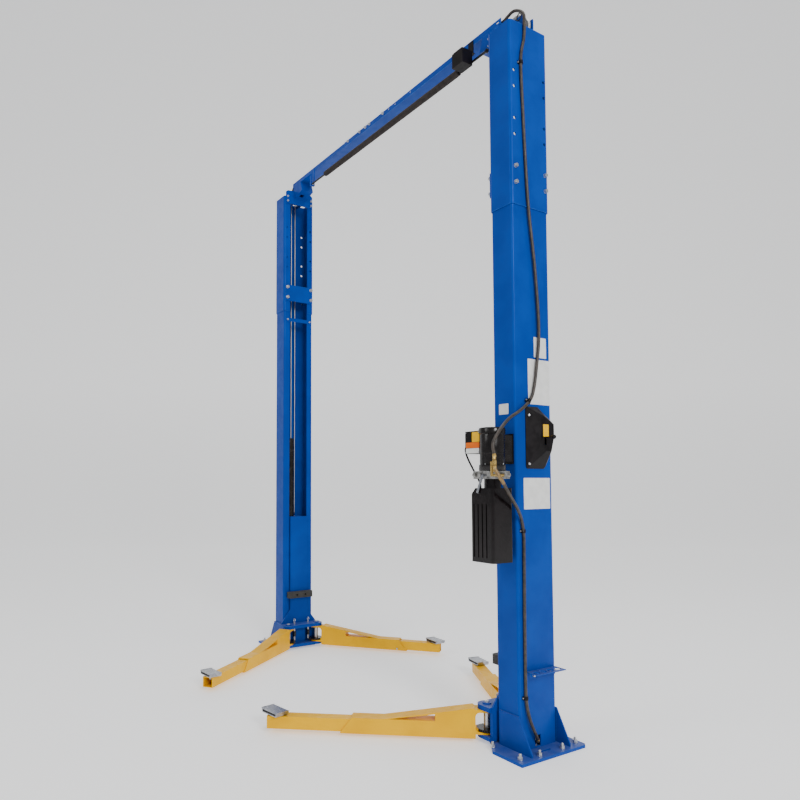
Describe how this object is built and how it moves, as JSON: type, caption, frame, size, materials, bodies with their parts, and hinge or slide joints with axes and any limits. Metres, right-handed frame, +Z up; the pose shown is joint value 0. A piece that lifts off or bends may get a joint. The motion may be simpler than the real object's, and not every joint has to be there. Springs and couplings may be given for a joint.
{
  "type": "two post car lift",
  "caption": "Two post car lift: lipped channel columns joined by an overhead beam, sliding carriages, telescoping swing arms with flip-up pads, and a wall-hung hydraulic power unit.",
  "frame": {"origin": "on the floor, midway between the feet of the two columns", "axes": "+Z up, +X towards the column that carries the power unit, -Y towards the side the power unit hangs on"},
  "size_m": [3.042, 1.979, 4.0314],
  "materials": {
    "blue_paint": "powder coat",
    "yellow_paint": "powder coat",
    "black_paint": "powder coat",
    "galvanised": "galvanised",
    "cable_wire": "stranded",
    "chrome_rod": "polished",
    "cast_aluminium": "cast",
    "brass_fitting": "machined",
    "black_rubber": "matt",
    "foam_sleeve": "closed-cell foam",
    "black_plastic": "moulded"
  },
  "bodies": {
    "frame": {"column_near": "blue_paint", "column_far": "blue_paint", "extension_near": "blue_paint", "extension_far": "blue_paint", "bridge_near": "blue_paint", "bridge_far": "blue_paint", "head_near": "blue_paint", "head_far": "blue_paint", "sheaves_near": "galvanised", "sheaves_far": "galvanised", "beam_near": "blue_paint", "beam_far": "blue_paint", "switch_box": "black_plastic", "cable_a": "cable_wire", "cable_b": "cable_wire", "rod_near": "chrome_rod", "rod_far": "chrome_rod", "unit_bracket": "black_paint", "motor": "black_paint", "motor_box": "black_plastic", "valve_block": "cast_aluminium", "tank": "black_plastic", "release_cover": "black_plastic", "adapter_rack": "blue_paint", "hose_up": "black_rubber", "hose_down": "black_rubber", "hose_tee": "brass_fitting"},
    "shutoff_bar": {"shutoff_bar": "galvanised", "shutoff_foam": "foam_sleeve"},
    "release_lever": {"release_lever": "black_plastic"},
    "pump_lever": {"pump_lever": "galvanised"},
    "carriage_near": {"carriage_near": "blue_paint", "guard_near": "black_rubber", "cylinder_near": "black_paint", "pins_near": "galvanised"},
    "arm_near_front": {"arm_near_front": "yellow_paint"},
    "reach_near_front": {"reach_near_front": "yellow_paint"},
    "pad_near_front": {"pad_near_front": "galvanised"},
    "restraint_near_front": {"restraint_near_front": "galvanised"},
    "arm_near_rear": {"arm_near_rear": "yellow_paint"},
    "reach_near_rear": {"reach_near_rear": "yellow_paint"},
    "pad_near_rear": {"pad_near_rear": "galvanised"},
    "restraint_near_rear": {"restraint_near_rear": "galvanised"},
    "carriage_far": {"carriage_far": "blue_paint", "guard_far": "black_rubber", "cylinder_far": "black_paint", "pins_far": "galvanised"},
    "arm_far_front": {"arm_far_front": "yellow_paint"},
    "reach_far_front": {"reach_far_front": "yellow_paint"},
    "pad_far_front": {"pad_far_front": "galvanised"},
    "restraint_far_front": {"restraint_far_front": "galvanised"},
    "arm_far_rear": {"arm_far_rear": "yellow_paint"},
    "reach_far_rear": {"reach_far_rear": "yellow_paint"},
    "pad_far_rear": {"pad_far_rear": "galvanised"},
    "restraint_far_rear": {"restraint_far_rear": "galvanised"}
  },
  "joints": [
    {"name": "lift_near", "type": "slide", "parent": "frame", "child": "carriage_near", "axis": [0, 0, 1], "range_m": [0, 1.6]},
    {"name": "lift_far", "type": "slide", "parent": "frame", "child": "carriage_far", "axis": [0, 0, 1], "range_m": [0, 1.6]},
    {"name": "swing_near_front", "type": "hinge", "parent": "carriage_near", "child": "arm_near_front", "pos_m": [1.165, -0.133, 0.1], "axis": [0, 0, 1], "range_deg": [-41.2, 33.8]},
    {"name": "extend_near_front", "type": "slide", "parent": "arm_near_front", "child": "reach_near_front", "axis": [-0.6266, -0.7793, 0], "range_m": [-0.3, 0.11]},
    {"name": "turn_pad_near_front", "type": "hinge", "parent": "reach_near_front", "child": "pad_near_front", "pos_m": [0.43187, -1.04482, 0.1], "axis": [0, 0, 1], "range_deg": [-90, 90]},
    {"name": "restraint_pull_near_front", "type": "slide", "parent": "carriage_near", "child": "restraint_near_front", "axis": [0, 0, 1], "range_m": [0, 0.03], "stiffness_N_per_m": 400, "springref_m": -0.02},
    {"name": "swing_near_rear", "type": "hinge", "parent": "carriage_near", "child": "arm_near_rear", "pos_m": [1.165, 0.133, 0.1], "axis": [0, 0, -1], "range_deg": [-20.1, 64.9]},
    {"name": "extend_near_rear", "type": "slide", "parent": "arm_near_rear", "child": "reach_near_rear", "axis": [-0.8652, 0.5015, 0], "range_m": [-0.16, 0.25]},
    {"name": "turn_pad_near_rear", "type": "hinge", "parent": "reach_near_rear", "child": "pad_near_rear", "pos_m": [0.27389, 0.64956, 0.1], "axis": [0, 0, 1], "range_deg": [-90, 90]},
    {"name": "restraint_pull_near_rear", "type": "slide", "parent": "carriage_near", "child": "restraint_near_rear", "axis": [0, 0, 1], "range_m": [0, 0.03], "stiffness_N_per_m": 400, "springref_m": -0.02},
    {"name": "swing_far_front", "type": "hinge", "parent": "carriage_far", "child": "arm_far_front", "pos_m": [-1.165, -0.133, 0.1], "axis": [0, 0, -1], "range_deg": [-43.8, 31.2]},
    {"name": "extend_far_front", "type": "slide", "parent": "arm_far_front", "child": "reach_far_front", "axis": [0.5906, -0.807, 0], "range_m": [-0.3, 0.11]},
    {"name": "turn_pad_far_front", "type": "hinge", "parent": "reach_far_front", "child": "pad_far_front", "pos_m": [-0.47399, -1.07714, 0.1], "axis": [0, 0, 1], "range_deg": [-90, 90]},
    {"name": "restraint_pull_far_front", "type": "slide", "parent": "carriage_far", "child": "restraint_far_front", "axis": [0, 0, 1], "range_m": [0, 0.03], "stiffness_N_per_m": 400, "springref_m": -0.02},
    {"name": "swing_far_rear", "type": "hinge", "parent": "carriage_far", "child": "arm_far_rear", "pos_m": [-1.165, 0.133, 0.1], "axis": [0, 0, 1], "range_deg": [-29.9, 55.1]},
    {"name": "extend_far_rear", "type": "slide", "parent": "arm_far_rear", "child": "reach_far_rear", "axis": [0.7672, 0.6414, 0], "range_m": [-0.16, 0.25]},
    {"name": "turn_pad_far_rear", "type": "hinge", "parent": "reach_far_rear", "child": "pad_far_rear", "pos_m": [-0.37482, 0.79369, 0.1], "axis": [0, 0, 1], "range_deg": [-90, 90]},
    {"name": "restraint_pull_far_rear", "type": "slide", "parent": "carriage_far", "child": "restraint_far_rear", "axis": [0, 0, 1], "range_m": [0, 0.03], "stiffness_N_per_m": 400, "springref_m": -0.02},
    {"name": "shutoff_tilt", "type": "hinge", "parent": "frame", "child": "shutoff_bar", "pos_m": [1.17, -0.075, 3.874], "axis": [0, 1, 0], "range_deg": [0, 1.5]},
    {"name": "release_pull", "type": "hinge", "parent": "frame", "child": "release_lever", "pos_m": [1.423, 0.032, 1.632], "axis": [0, 1, 0], "range_deg": [0, 14], "stiffness_Nm_per_rad": 3, "springref_deg": -34.38},
    {"name": "lowering_pull", "type": "hinge", "parent": "frame", "child": "pump_lever", "pos_m": [1.366, -0.33, 1.43], "axis": [0, 1, 0], "range_deg": [0, 20], "stiffness_Nm_per_rad": 1, "springref_deg": -28.65}
  ],
  "couplings": [
    {"joint": "lift_far", "follows": "lift_near", "ratio": 1}
  ]
}
